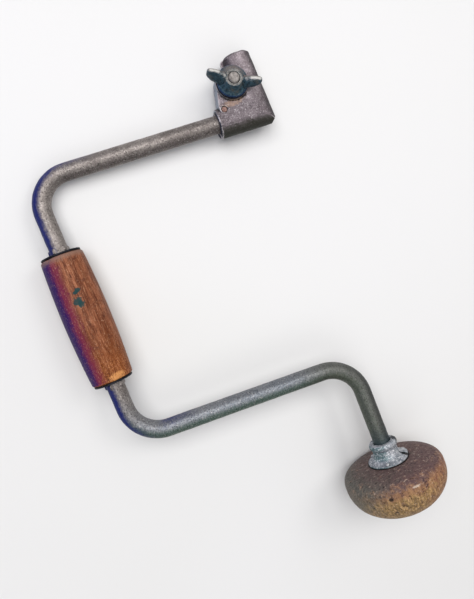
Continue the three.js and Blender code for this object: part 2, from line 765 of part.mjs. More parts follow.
place('chuck_rear_shell', rearShell(), castIron());
place('chuck_front_shell', frontShell(), castIron());
const bolt = place('clamp_bolt', clampBolt(), brightSteel(), BOLT_X, BOLT_Y);
place('clamp_washer', clampWasher(), darkSteel(), BOLT_X, BOLT_Y);
const nut = place('wing_nut', wingNut(), nutIron(), BOLT_X, BOLT_Y, NUT_BASE_Z);
nut.rotation.z = WING_TURN;
place('guide_pin', guidePin(), rustySteel(), PIN_X, PIN_Y);

// ---- laid on the floor ----

function lowestPoint(mesh) {
  const position = mesh.geometry.attributes.position;
  const point = new THREE.Vector3();
  const lowest = new THREE.Vector3(0, 0, Infinity);
  for (let i = 0; i < position.count; i += 1) {
    point.fromBufferAttribute(position, i).applyMatrix4(mesh.matrixWorld);
    if (point.z < lowest.z) lowest.copy(point);
  }
  return lowest;
}

// Tip the tool until the lowest points of its three feet share one level, then turn it about the
// vertical so that the brace axis still runs along +Y.
function layDown(tool, feet) {
  const up = new THREE.Vector3(0, 0, 1);
  for (let pass = 0; pass < 8; pass += 1) {
    tool.updateMatrixWorld(true);
    const [a, b, c] = feet.map(lowestPoint);
    const normal = b.sub(a).cross(c.sub(a)).normalize();
    if (normal.z < 0) normal.negate();
    tool.quaternion.premultiply(new THREE.Quaternion().setFromUnitVectors(normal, up));
  }
  const axis = new THREE.Vector3(0, 1, 0).applyQuaternion(tool.quaternion);
  const yaw = new THREE.Quaternion().setFromAxisAngle(up, Math.atan2(axis.x, axis.y));
  tool.quaternion.premultiply(yaw);
  tool.updateMatrixWorld(true);
}

layDown(brace, [knob, handle, bolt]);
const bounds = new THREE.Box3().setFromObject(brace, true);
brace.position.set(
  -(bounds.min.x + bounds.max.x) / 2,
  -(bounds.min.y + bounds.max.y) / 2,
  -bounds.min.z,
);

const group = new THREE.Group();
group.add(brace);

export default group;
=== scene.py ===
"""A carpenter's hand brace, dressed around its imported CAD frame, in metres.

Three frames of the brace's own are used, each with X away from the handle, Y from the knob towards the
chuck and Z off the crank's plane: BRACE at the knob's middle, HANDLE at the sleeve's and CLAMP at the bolt.
"""

import json
import math

import bmesh
import bpy
import numpy as np
from mathutils import Matrix, Vector, noise


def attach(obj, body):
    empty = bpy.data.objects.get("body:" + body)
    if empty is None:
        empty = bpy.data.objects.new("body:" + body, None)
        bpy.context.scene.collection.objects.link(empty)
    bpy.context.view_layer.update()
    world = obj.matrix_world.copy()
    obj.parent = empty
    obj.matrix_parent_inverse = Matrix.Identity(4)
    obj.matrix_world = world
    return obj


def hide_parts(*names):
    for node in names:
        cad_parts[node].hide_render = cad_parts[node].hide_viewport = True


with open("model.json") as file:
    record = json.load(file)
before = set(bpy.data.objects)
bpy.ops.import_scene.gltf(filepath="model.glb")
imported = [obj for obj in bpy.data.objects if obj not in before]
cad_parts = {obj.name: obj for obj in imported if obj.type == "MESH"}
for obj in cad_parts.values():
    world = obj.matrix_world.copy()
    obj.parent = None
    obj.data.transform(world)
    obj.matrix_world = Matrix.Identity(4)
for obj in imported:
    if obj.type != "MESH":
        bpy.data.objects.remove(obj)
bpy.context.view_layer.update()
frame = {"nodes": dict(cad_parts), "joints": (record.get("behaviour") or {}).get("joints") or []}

MM = 0.001
FULL_TURN = 2 * math.pi
scene = bpy.context.scene

# ---- the brace's own frames ----

joints = {joint["name"]: joint for joint in frame["joints"]}
ALONG = Vector(joints["knob_spin"]["axis"]).normalized()
FACING = Vector(joints["front_jaw_slide"]["axis"]).normalized()
ASIDE = ALONG.cross(FACING)

# The knob is widest this far above the brace's origin.
KNOB_WIDEST_Y = 2.7 * MM


def placed(origin):
    """The brace's axes at a point of the row frame."""
    matrix = Matrix((ASIDE, ALONG, FACING)).transposed().to_4x4()
    matrix.translation = origin
    return matrix


BRACE = placed(Vector(joints["knob_spin"]["pos_m"]) - KNOB_WIDEST_Y * ALONG)
HANDLE = placed(Vector(joints["handle_spin"]["pos_m"]))
CLAMP = placed(Vector(joints["wing_nut_turn"]["pos_m"]))


def points_of(mesh):
    points = np.zeros(3 * len(mesh.vertices), np.float32)
    mesh.vertices.foreach_get("co", points)
    return points.reshape(-1, 3).astype(float)


def in_frame(points, matrix):
    """Points of the row frame, told in one of the brace's frames."""
    inverse = np.array(matrix.inverted())
    return points @ inverse[:3, :3].T + inverse[:3, 3]


def extent(node, matrix):
    """A CAD node's lowest and highest corners in one of the brace's frames."""
    points = in_frame(points_of(frame["nodes"][node].data), matrix)
    return Vector(points.min(0)), Vector(points.max(0))


# ---- meshes ----

# Points nearer than this are one point, and edges shorter than this are none.
WELD_DISTANCE = 0.002 * MM
LEAST_EDGE = 0.0001 * MM
FILLET_POINTS = 7
LEAST_COLUMNS = 24


def sheet_mesh(name, grid, rows_close=False):
    """Quads over a grid of points (rows, columns, 3) whose columns close on themselves."""
    rows, columns = grid.shape[:2]
    index = np.arange(rows * columns).reshape(rows, columns)
    lower = index if rows_close else index[:-1]
    upper = np.roll(index, -1, axis=0) if rows_close else index[1:]
    quads = np.stack(
        [lower, np.roll(lower, -1, axis=1), np.roll(upper, -1, axis=1), upper], axis=-1
    )
    mesh = bpy.data.meshes.new(name)
    mesh.from_pydata(grid.reshape(-1, 3).tolist(), [], quads.reshape(-1, 4).tolist())
    return mended(mesh)


def mended(mesh):
    """Welds doubled points, such as a pole's, and turns every face outwards."""
    work = bmesh.new()
    work.from_mesh(mesh)
    bmesh.ops.remove_doubles(work, verts=work.verts, dist=WELD_DISTANCE)
    bmesh.ops.dissolve_degenerate(work, edges=work.edges, dist=LEAST_EDGE)
    bmesh.ops.recalc_face_normals(work, faces=work.faces)
    work.to_mesh(mesh)
    work.free()
    mesh.shade_smooth()
    return mesh


def filleted(corners, step):
    """A closed outline of (radius, along, fillet) corners, rounded, as evenly spaced points."""
    path = []
    for i, (radius, along, fillet) in enumerate(corners):
        here = np.array([radius, along])
        if fillet == 0:
            path.append(here)
            continue
        before = np.array(corners[i - 1][:2]) - here
        after = np.array(corners[(i + 1) % len(corners)][:2]) - here
        before /= np.linalg.norm(before)
        after /= np.linalg.norm(after)
        half_angle = math.acos(np.clip(before @ after, -1, 1)) / 2
        reach = fillet / math.tan(half_angle)
        middle = here + (before + after) / np.linalg.norm(before + after) * fillet / math.sin(half_angle)
        first, last = here + before * reach - middle, here + after * reach - middle
        for share in np.linspace(0, 1, FILLET_POINTS):
            spoke = first * (1 - share) + last * share
            path.append(middle + spoke / np.linalg.norm(spoke) * fillet)
    path.append(path[0])
    return evenly(np.array(path), step)[:-1]


def evenly(path, step):
    """The same line with points at even distances."""
    lengths = np.concatenate([[0], np.cumsum(np.linalg.norm(np.diff(path, axis=0), axis=1))])
    stops = np.linspace(0, lengths[-1], max(2, round(lengths[-1] / step)) + 1)
    return np.stack([np.interp(stops, lengths, path[:, i]) for i in range(path.shape[1])], axis=1)


def turned(name, profile, step, closes=False):
    """A body of revolution about Y with faces of about one size."""
    columns = max(LEAST_COLUMNS, round(FULL_TURN * profile[:, 0].max() / step))
    angles = np.linspace(0, FULL_TURN, columns, endpoint=False)
    grid = np.stack(
        [
            profile[:, :1] * np.cos(angles),
            np.repeat(profile[:, 1:], columns, axis=1),
            profile[:, :1] * np.sin(angles),
        ],
        axis=-1,
    )
    return sheet_mesh(name, grid, closes)


def refined(name, node, matrix, voxel, smoothing):
    """A fine, softened mesh of a CAD node, told in one of the brace's frames."""
    mesh = frame["nodes"][node].data.copy()
    mesh.name = name
    mesh.transform(matrix.inverted())
    mended(mesh)
    return remeshed(mesh, voxel, smoothing)


def remeshed(mesh, voxel, smoothing):
    work = bpy.data.objects.new("work", mesh)
    scene.collection.objects.link(work)
    remesh = work.modifiers.new("remesh", "REMESH")
    remesh.mode = "VOXEL"
    remesh.voxel_size = voxel
    soften = work.modifiers.new("soften", "SMOOTH")
    soften.factor = 0.5
    soften.iterations = smoothing
    depsgraph = bpy.context.evaluated_depsgraph_get()
    fine = bpy.data.meshes.new_from_object(work.evaluated_get(depsgraph))
    fine.name = mesh.name
    bpy.data.objects.remove(work)
    fine.shade_smooth()
    return fine


def normals_of(mesh):
    normals = np.zeros(3 * len(mesh.vertices), np.float32)
    mesh.vertices.foreach_get("normal", normals)
    return normals.reshape(-1, 3).astype(float)


def raised(mesh, relief):
    """Moves every point along its normal by relief(points), in metres."""
    points = points_of(mesh)
    moved = points + normals_of(mesh) * relief(points)[:, None]
    return reshaped(mesh, moved)


def reshaped(mesh, points):
    mesh.vertices.foreach_set("co", points.astype(np.float32).ravel())
    mesh.update()
    return mesh


def ripple(points, size, octaves, shift=0.0):
    """Smooth noise from about -1 to 1. The size is one length, or one for each axis."""
    scaled = points / np.array(size) + shift
    return np.array([noise.fractal(Vector(p), 1.0, 2.0, octaves) for p in scaled])


def rise(value, low, high):
    """A smooth step from 0 at low to 1 at high."""
    share = np.clip((value - low) / (high - low), 0, 1)
    return share * share * (3 - 2 * share)


def marked_edges(mesh, rounds):
    """Stores how far each point stands out from its surroundings as the attribute edge, 0 to 1."""
    edges = np.zeros(2 * len(mesh.edges), np.int32)
    mesh.edges.foreach_get("vertices", edges)
    first, second = edges.reshape(-1, 2).T
    points = points_of(mesh)
    neighbours = np.bincount(first, minlength=len(points)) + np.bincount(second, minlength=len(points))
    soft = points
    for _ in range(rounds):
        total = np.zeros_like(soft)
        np.add.at(total, first, soft[second])
        np.add.at(total, second, soft[first])
        soft = total / np.maximum(neighbours, 1)[:, None]
    proud = np.einsum("ij,ij->i", points - soft, normals_of(mesh))
    spread = np.percentile(np.abs(proud), 97) + 1e-9
    edge = mesh.attributes.new("edge", "FLOAT", "POINT")
    edge.data.foreach_set("value", np.clip(0.5 + 0.5 * proud / spread, 0, 1).astype(np.float32))
    return mesh


def add_piece(mesh, matrix, body, slot, material, *nodes):
    """Shows a mesh, given in the frame that matrix tells, on a body and in place of CAD nodes."""
    mesh.transform(matrix)
    mesh.materials.clear()
    mesh.materials.append(material)
    piece = bpy.data.objects.new(mesh.name, mesh)
    scene.collection.objects.link(piece)
    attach(piece, body)
    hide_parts(*nodes)


# ---- material nodes ----

def tint(code):
    """A colour from its six hex digits, as linear light."""
    shares = [int(code[i : i + 2], 16) / 255 for i in (0, 2, 4)]
    return [s / 12.92 if s <= 0.04045 else ((s + 0.055) / 1.055) ** 2.4 for s in shares] + [1.0]


class Finish:
    """A material made of procedural nodes, drawn in one of the brace's frames, with short names for
    the few kinds of node that it uses. A size is a patch's width in metres, or one for each axis."""

    def __init__(self, name, matrix, metallic=0.0, gloss=0.15):
        self.material = bpy.data.materials.new(name)
        self.material.use_nodes = True
        self.nodes = self.material.node_tree.nodes
        self.links = self.material.node_tree.links
        self.shader = self.nodes["Principled BSDF"]
        self.shader.inputs["Metallic"].default_value = metallic
        self.shader.inputs["Specular IOR Level"].default_value = gloss
        self.coordinates = self.nodes.new("ShaderNodeTexCoord")
        inverse = matrix.inverted()
        inputs = {
            "Vector": self.coordinates.outputs["Object"],
            "Location": inverse.translation,
            "Rotation": inverse.to_euler(),
        }
        self.place = self.node("ShaderNodeMapping", inputs).outputs[0]

    def feed(self, socket, value):
        if isinstance(value, bpy.types.NodeSocket):
            self.links.new(value, socket)
        else:
            socket.default_value = value

    def node(self, kind, inputs, **settings):
        node = self.nodes.new(kind)
        for key, value in settings.items():
            setattr(node, key, value)
        for key, value in inputs.items():
            self.feed(node.inputs[key], value)
        return node

    def scaled(self, size):
        size = size if isinstance(size, tuple) else (size, size, size)
        scale = [1 / length for length in size]
        return self.node("ShaderNodeMapping", {"Vector": self.place, "Scale": scale}).outputs[0]

    def noise(self, size, detail, rough=0.55, shift=0.0, warp=0.0):
        inputs = {
            "Vector": self.scaled(size),
            "Scale": 1.0,
            "W": shift,
            "Detail": detail,
            "Roughness": rough,
            "Distortion": warp,
        }
        return self.node("ShaderNodeTexNoise", inputs, noise_dimensions="4D").outputs["Fac"]

    def cells(self, size):
        """Distance to scattered centres, 0 at each centre."""
        inputs = {"Vector": self.scaled(size), "Scale": 1.0}
        return self.node("ShaderNodeTexVoronoi", inputs, voronoi_dimensions="4D").outputs["Distance"]

    def maths(self, operation, first, second):
        return self.node("ShaderNodeMath", {0: first, 1: second}, operation=operation).outputs[0]

    def vector_maths(self, operation, first, second=(0, 0, 0)):
        node = self.node("ShaderNodeVectorMath", {0: first, 1: second}, operation=operation)
        return node.outputs["Value" if operation in ("LENGTH", "DOT_PRODUCT") else "Vector"]

    def both(self, first, second):
        """Where two shares meet."""
        return self.maths("MULTIPLY", first, second)

    def swing(self, value, reach):
        """A noise value as plus or minus half the reach about zero."""
        return self.maths("MULTIPLY", self.maths("SUBTRACT", value, 0.5), reach)

    def between(self, value, low, high, to_low=0.0, to_high=1.0):
        """A smooth step of a value, from to_low at low to to_high at high."""
        inputs = {"Value": value, 1: low, 2: high, 3: to_low, 4: to_high}
        node = self.node("ShaderNodeMapRange", inputs, interpolation_type="SMOOTHSTEP")
        return node.outputs[0]

    def blend(self, share, first, second):
        node = self.nodes.new("ShaderNodeMix")
        node.data_type = "RGBA"
        self.feed(node.inputs["Factor"], share)
        self.feed(node.inputs[6], tint(first) if isinstance(first, str) else first)
        self.feed(node.inputs[7], tint(second) if isinstance(second, str) else second)
        return node.outputs[2]

    def painted(self, colour, share, over, strength=1.0):
        """A colour with another over it, as far as the share says."""
        if strength != 1.0:
            share = self.maths("MULTIPLY", share, strength)
        return self.blend(share, colour, over)

    def edge(self):
        return self.node("ShaderNodeAttribute", {}, attribute_name="edge").outputs["Fac"]

    def along(self, axis):
        """One of the frame's coordinates, in metres."""
        node = self.node("ShaderNodeSeparateXYZ", {0: self.place})
        return node.outputs["XYZ".index(axis)]

    def ring_share(self, inner, outer, above):
        """1 on a ring about the Y axis, above a height along it, fading out at the ring's edges."""
        flat = self.vector_maths("MULTIPLY", self.place, (1, 0, 1))
        radius = self.vector_maths("LENGTH", flat)
        inside = self.between(radius, inner - 1 * MM, inner)
        outside = self.between(radius, outer, outer - 0.8 * MM)
        return self.both(self.both(inside, outside), self.between(self.along("Y"), above - 1 * MM, above))

    def facing(self, direction):
        """1 where the surface faces a direction of the row frame at rest, -1 where it faces away."""
        return self.vector_maths("DOT_PRODUCT", self.coordinates.outputs["Normal"], direction)

    def flank(self, direction, lean, low, high):
        """A band that rises from low to high towards one side and ends where the surface turns under."""
        side = self.maths("ADD", self.facing(direction), lean)
        upper = self.between(self.facing(BACK), -0.1, 0.2)
        return self.both(self.between(side, low, high), upper)

    def spot(self, centre, size, ragged=0.5, grain=1.6 * MM):
        """1 inside a ragged patch about a point, 0 outside it. The size is half its reach on each axis."""
        away = self.vector_maths("SUBTRACT", self.place, centre)
        share = self.vector_maths("MULTIPLY", away, [1 / reach for reach in size])
        length = self.vector_maths("LENGTH", share)
        reach = self.maths("ADD", length, self.swing(self.noise(grain, 3, 0.6, 11.0), 2 * ragged))
        return self.between(reach, 0.75, 1.15, 1.0, 0.0)

    def dress(self, colour, rough, *bumps):
        """Sets the colour, the roughness and bumps of (height, depth in metres)."""
        self.feed(self.shader.inputs["Base Color"], colour)
        self.feed(self.shader.inputs["Roughness"], rough)
        normal = None
        for height, depth in bumps:
            node = self.node("ShaderNodeBump", {"Height": height, "Distance": depth, "Strength": 1.0})
            if normal is not None:
                self.links.new(normal, node.inputs["Normal"])
            normal = node.outputs[0]
        self.links.new(normal, self.shader.inputs["Normal"])
        return self.material


# ---- camera ----

CAMERA_PLACE = Vector((-60.9, 78.8, 407.4)) * MM
CAMERA_AIM = Vector((12.4, 12.9, 0)) * MM
CAMERA_ROLL = math.radians(20.86)

# Focal length and sensor width, both in millimetres as Blender takes them.
CAMERA_LENS = 33.08
SENSOR = 36.0


def camera_axes():
    """The camera's right, up and back directions."""
    back = (CAMERA_PLACE - CAMERA_AIM).normalized()
    level = Vector((0, 1, 0)).cross(back).normalized()
    upright = back.cross(level)
    right = level * math.cos(CAMERA_ROLL) - upright * math.sin(CAMERA_ROLL)
    return right, back.cross(right), back


RIGHT, UP, BACK = camera_axes()


def aimed(place, back, right):
    matrix = Matrix((right, back.cross(right), back)).transposed().to_4x4()
    matrix.translation = place
    return matrix


def add_camera():
    lens = bpy.data.cameras.new("camera")
    lens.sensor_fit = "AUTO"
    lens.sensor_width = SENSOR
    lens.lens = CAMERA_LENS
    lens.clip_start = 0.01
    camera = bpy.data.objects.new("camera", lens)
    camera.matrix_world = aimed(CAMERA_PLACE, BACK, RIGHT)
    scene.collection.objects.link(camera)
    scene.camera = camera


# ---- materials ----

# A spot is its centre and half its size on each axis. The tan stain is beside the nut, in CLAMP.
CHUCK_STAIN = ((-3.5 * MM, -12.6 * MM, 9.4 * MM), (8 * MM, 2.4 * MM, 3 * MM))
NUT_SKIRT_THICK = 2.6 * MM


def bar_steel():
    """Old pitted bar: brown-grey, colder on the low arm, teal at the knob, with painted blue light outside
    its bow and painted shade on its underside and on the knob leg's right side.
    """
    finish = Finish("bar_steel", BRACE)
    patches = finish.noise(11 * MM, 4, 0.6)
    grime = finish.noise((1.0 * MM, 1.6 * MM, 1.0 * MM), 5, 0.75, 4.0)
    pits = finish.between(finish.cells(0.8 * MM), 0.12, 0.5)
    lean = finish.swing(finish.noise(2.5 * MM, 5, 0.75, 9.0), 0.8)
    colour = finish.blend(finish.between(patches, 0.35, 0.68), "6f6865", "8f8884")
    low_arm = finish.between(finish.along("Y"), 150 * MM, 100 * MM)
    colour = finish.painted(colour, low_arm, "6f7c88", 0.6)
    # Painted shade on the side that faces down in the view, greenish on the low arm.
    under = finish.flank(-UP, lean, 0.1, 0.8)
    colour = finish.painted(colour, under, "4a4441", 0.6)
    low_arm_painted_shade = finish.both(finish.flank(-UP, lean, -0.15, 0.5), low_arm)
    colour = finish.painted(colour, low_arm_painted_shade, "4a6456", 0.72)
    colour = finish.painted(colour, finish.between(grime, 0.53, 0.68), "c4bdb9", 0.65)
    colour = finish.painted(colour, finish.between(grime, 0.48, 0.34), "2f2a28", 0.75)
    knob_leg = finish.both(low_arm, finish.between(finish.along("X"), -55 * MM, -15 * MM))
    colour = finish.painted(colour, knob_leg, "56564a", 0.66)
    # Painted shade on the knob leg's side that faces right.
    inner = finish.between(finish.facing(RIGHT), 0.1, 0.8)
    colour = finish.painted(colour, finish.both(inner, knob_leg), "2f3132", 0.7)
    foot = finish.maths("ADD", finish.along("Y"), finish.swing(patches, 14 * MM))
    colour = finish.painted(colour, finish.between(foot, 46 * MM, 24 * MM), "2a3f48", 0.8)
    colour = finish.blend(pits, "221e1c", colour)
    # Painted blue light on the side of the bow that faces left; the bar is made less metallic there.
    bow = finish.between(finish.along("X"), -112 * MM, -142 * MM)
    painted_blue_light = finish.both(finish.flank(-RIGHT, lean, -0.18, 0.42), bow)
    colour = finish.painted(colour, painted_blue_light, "08175a", 0.96)
    finish.feed(finish.shader.inputs["Metallic"], finish.between(painted_blue_light, 0, 1, 0.6, 0.05))
    rough = finish.between(grime, 0.3, 0.75, 0.54, 0.34)
    return finish.dress(colour, rough, (pits, 0.06 * MM), (grime, 0.22 * MM))


def chuck_iron():
    """Sandy casting, darker towards its low end, its edges worn pale, with painted shade on its sides, ends,
    far side, down-facing side and creases, and painted light on the cheek beside the parting.
    """
    finish = Finish("chuck_iron", CLAMP, metallic=0.4)
    sand = finish.noise(0.7 * MM, 4, 0.78)
    specks = finish.noise(1.0 * MM, 5, 0.8, 2.0)
    patches = finish.noise(7 * MM, 4, 0.65, 3.0)
    height = finish.along("Y")
    level = finish.maths("ADD", finish.facing(FACING), finish.swing(specks, 0.5))
    colour = finish.blend(finish.between(patches, 0.3, 0.7), "6f6569", "a2979c")
    lowness = finish.maths("ADD", height, finish.swing(patches, 10 * MM))
    colour = finish.painted(colour, finish.between(lowness, -7 * MM, -15 * MM), "433c40", 0.55)
    colour = finish.painted(colour, finish.between(specks, 0.52, 0.66), "d6cfd2", 0.8)
    colour = finish.painted(colour, finish.between(specks, 0.47, 0.34), "352d30", 0.75)
    # Painted shade on the faces that turn away from the front.
    colour = finish.painted(colour, finish.between(level, 0.88, 0.4), "231e21", 0.88)
    outer = finish.facing(-ASIDE)
    # Painted light, pale grey-blue, on the cheek's side that faces left, beside the parting.
    painted_light_cheek = finish.between(height, 10 * MM, 6 * MM)
    painted_light_cheek = finish.both(painted_light_cheek, finish.between(height, -15 * MM, -13 * MM))
    painted_light_cheek = finish.both(painted_light_cheek, finish.between(outer, 0.35, 0.8))
    colour = finish.painted(colour, painted_light_cheek, "9aa3ae", 0.8)
    # Painted shade, navy, on the low barrel's end that faces left.
    end = finish.both(finish.between(outer, 0.4, 0.9), finish.between(height, -14 * MM, -16 * MM))
    colour = finish.painted(colour, end, "122446", 0.85)
    # Painted shade, purple-grey, on the upper shoulder's side that faces left.
    painted_shoulder_shade = finish.both(finish.between(outer, 0.0, 1.0), finish.between(height, 6 * MM, 11 * MM))
    colour = finish.painted(colour, painted_shoulder_shade, "3f3342", 0.45)
    # Painted shade on the side that faces away from the handle.
    painted_far_side_shading = finish.between(finish.facing(ASIDE), 0.15, 0.7)
    colour = finish.painted(colour, painted_far_side_shading, "2b2629", 0.7)
    # Painted shade on the side that faces down in the view.
    painted_low_side_shade = finish.between(finish.maths("ADD", finish.facing(-UP), finish.swing(specks, 0.5)), 0.15, 0.6)
    colour = finish.painted(colour, painted_low_side_shade, "2f3027", 0.85)
    stain = finish.both(finish.spot(*CHUCK_STAIN, 0.8), finish.between(sand, 0.35, 0.6))
    colour = finish.painted(colour, stain, "a58467", 0.6)
    wear_and_crease_shade = finish.maths("ADD", finish.edge(), finish.swing(sand, 0.6))
    colour = finish.painted(colour, finish.between(wear_and_crease_shade, 0.78, 1.0), "cfc9cb", 0.7)
    # Painted shade in hollows and creases; the pale edges above are wear.
    colour = finish.painted(colour, finish.between(wear_and_crease_shade, 0.4, 0.15), "171316", 0.9)
    rough = finish.between(sand, 0.3, 0.7, 0.62, 0.4)
    return finish.dress(colour, rough, (sand, 0.24 * MM), (specks, 0.3 * MM))


def nut_iron():
    """Dark casting: teal on the sides, with painted navy shade on the skirt, painted light on what faces up
    or out, painted highlights on its upper faces and painted shade in its creases.
    """
    finish = Finish("nut_iron", CLAMP, metallic=0.4)
    sand = finish.noise(0.8 * MM, 4, 0.78)
    specks = finish.noise(2.2 * MM, 5, 0.72, 2.0)
    blotches = finish.noise(5 * MM, 3, 0.6, 7.0)
    skirt_top = extent("wing_nut", CLAMP)[0].z + NUT_SKIRT_THICK
    level = finish.maths("ADD", finish.facing(FACING), finish.swing(specks, 0.8))
    colour = finish.blend(finish.between(specks, 0.36, 0.62), "20333e", "405a66")
    colour = finish.painted(colour, finish.between(blotches, 0.5, 0.68), "625e54", 0.6)
    # Painted light, brown-grey, on the flank that faces up in the view.
    painted_far_side_shading = finish.between(finish.facing(-UP), -0.2, -0.8)
    colour = finish.painted(colour, painted_far_side_shading, "776d69", 0.85)
    # Painted light, grey, on the faces that turn to the front.
    colour = finish.painted(colour, finish.between(level, 0.78, 1.05), "817c77", 0.85)
    # Painted shade, navy, on the skirt's side.
    skirt = finish.between(finish.along("Z"), skirt_top, skirt_top - 0.8 * MM)
    colour = finish.painted(colour, skirt, "0c3768", 0.88)
    colour = finish.painted(colour, finish.between(sand, 0.47, 0.36), "101418", 0.9)
    wear_and_crease_shade = finish.maths("ADD", finish.edge(), finish.swing(sand, 0.6))
    # Painted highlight on the front-facing faces high above the skirt.
    painted_top_highlight = finish.between(finish.along("Z"), skirt_top + 6 * MM, skirt_top + 7 * MM)
    painted_top_highlight = finish.both(painted_top_highlight, finish.between(level, 0.5, 0.9))
    colour = finish.painted(colour, painted_top_highlight, "c9c7c2", 0.8)
    colour = finish.painted(colour, finish.between(wear_and_crease_shade, 0.84, 1.05), "b5b4b0", 0.6)
    # Painted shade in hollows and creases.
    colour = finish.painted(colour, finish.between(wear_and_crease_shade, 0.34, 0.08), "0d1116", 0.85)
    rough = finish.between(sand, 0.3, 0.7, 0.6, 0.38)
    return finish.dress(colour, rough, (sand, 0.24 * MM), (specks, 0.25 * MM))


def washer_steel():
    """Dark oxide with a little grime."""
    finish = Finish("washer_steel", BRACE, metallic=0.5)
    grime = finish.noise(1.1 * MM, 4, 0.65)
    colour = finish.blend(finish.between(grime, 0.35, 0.7), "15171d", "34353b")
    return finish.dress(colour, finish.between(grime, 0.3, 0.8, 0.4, 0.65), (grime, 0.08 * MM))


# The slit in the ferrule's flange, told by a row of spots, and the break in its cuff, in BRACE.
FLANGE_SLIT_TURN = math.radians(38)
SLIT_REACHES = np.linspace(10.4, 15.2, 8) * MM
SLIT_HEIGHT = 18.6 * MM
SLIT_SPOT = (0.6 * MM, 4 * MM, 0.6 * MM)
CUFF_BREAK = ((9.4 * MM, 29.6 * MM, 2.8 * MM), (3.2 * MM, 3.4 * MM, 4.6 * MM))


def ferrule_metal():
    """Tinned sheet, scuffed in bright flecks, teal on its shaded side, dark where slit and broken."""
    finish = Finish("ferrule_metal", BRACE, metallic=0.4)
    flecks = finish.noise(1.3 * MM, 5, 0.78)
    bloom = finish.noise(4 * MM, 3, 0.6, 2.0)
    scuffs = finish.noise((4 * MM, 1.4 * MM, 1.4 * MM), 4, 0.7, 5.0)
    colour = finish.blend(finish.between(bloom, 0.35, 0.65), "747b83", "a6a9af")
    shade = finish.maths("ADD", finish.facing(-RIGHT), finish.swing(bloom, 0.5))
    neck = finish.between(finish.facing(ALONG), 0.75, 0.45)
    colour = finish.painted(colour, finish.both(finish.between(shade, -0.1, 0.5), neck), "4f7070", 0.8)
    colour = finish.painted(colour, finish.between(flecks, 0.52, 0.63), "e3e4e6", 0.9)
    colour = finish.painted(colour, finish.between(flecks, 0.46, 0.34), "3b4248")
    colour = finish.painted(colour, finish.between(scuffs, 0.57, 0.66), "f2f2f4", 0.8)
    # Painted shade in hollows and creases.
    colour = finish.painted(colour, finish.between(finish.edge(), 0.4, 0.1), "1c1f25", 0.85)
    for reach in SLIT_REACHES:
        place = (reach * math.cos(FLANGE_SLIT_TURN), SLIT_HEIGHT, reach * math.sin(FLANGE_SLIT_TURN))
        slit = finish.spot(place, SLIT_SPOT, 0.4, 0.8 * MM)
        colour = finish.painted(colour, slit, "0c0d10", 0.92)
    colour = finish.painted(colour, finish.spot(*CUFF_BREAK, 0.5), "26282a", 0.85)
    rough = finish.between(flecks, 0.3, 0.7, 0.58, 0.38)
    return finish.dress(colour, rough, (flecks, 0.26 * MM), (scuffs, 0.22 * MM))


def bright_steel(name, matrix, base, worn, dark):
    """Bare steel in three tones, with painted shade where its edges sink in."""
    finish = Finish(name, matrix, metallic=0.4)
    flecks = finish.noise(1.4 * MM, 4, 0.75)
    colour = finish.blend(finish.between(flecks, 0.38, 0.62), base, worn)
    colour = finish.painted(colour, finish.between(flecks, 0.4, 0.3), dark)
    # Painted shade where the edges sink in.
    colour = finish.painted(colour, finish.between(finish.edge(), 0.35, 0.1), dark)
    return finish.dress(colour, finish.between(flecks, 0.3, 0.7, 0.6, 0.42), (flecks, 0.15 * MM))


# Dark paint spots and the pale worn patch on the sleeve, in HANDLE.
PAINT_SPOTS = [
    ((1.0 * MM, 18.6 * MM, 15.9 * MM), (2.2 * MM, 1.3 * MM, 4 * MM)),
    ((2.8 * MM, 20.0 * MM, 15.5 * MM), (1.9 * MM, 1.4 * MM, 4 * MM)),
    ((0.3 * MM, 12.6 * MM, 16.0 * MM), (3.2 * MM, 3.0 * MM, 4 * MM)),
    ((1.6 * MM, 10.6 * MM, 16.0 * MM), (2.4 * MM, 2.6 * MM, 4 * MM)),
]
WORN_PATCH = ((5.5 * MM, -43.4 * MM, 13.6 * MM), (6.5 * MM, 3.2 * MM, 5 * MM))


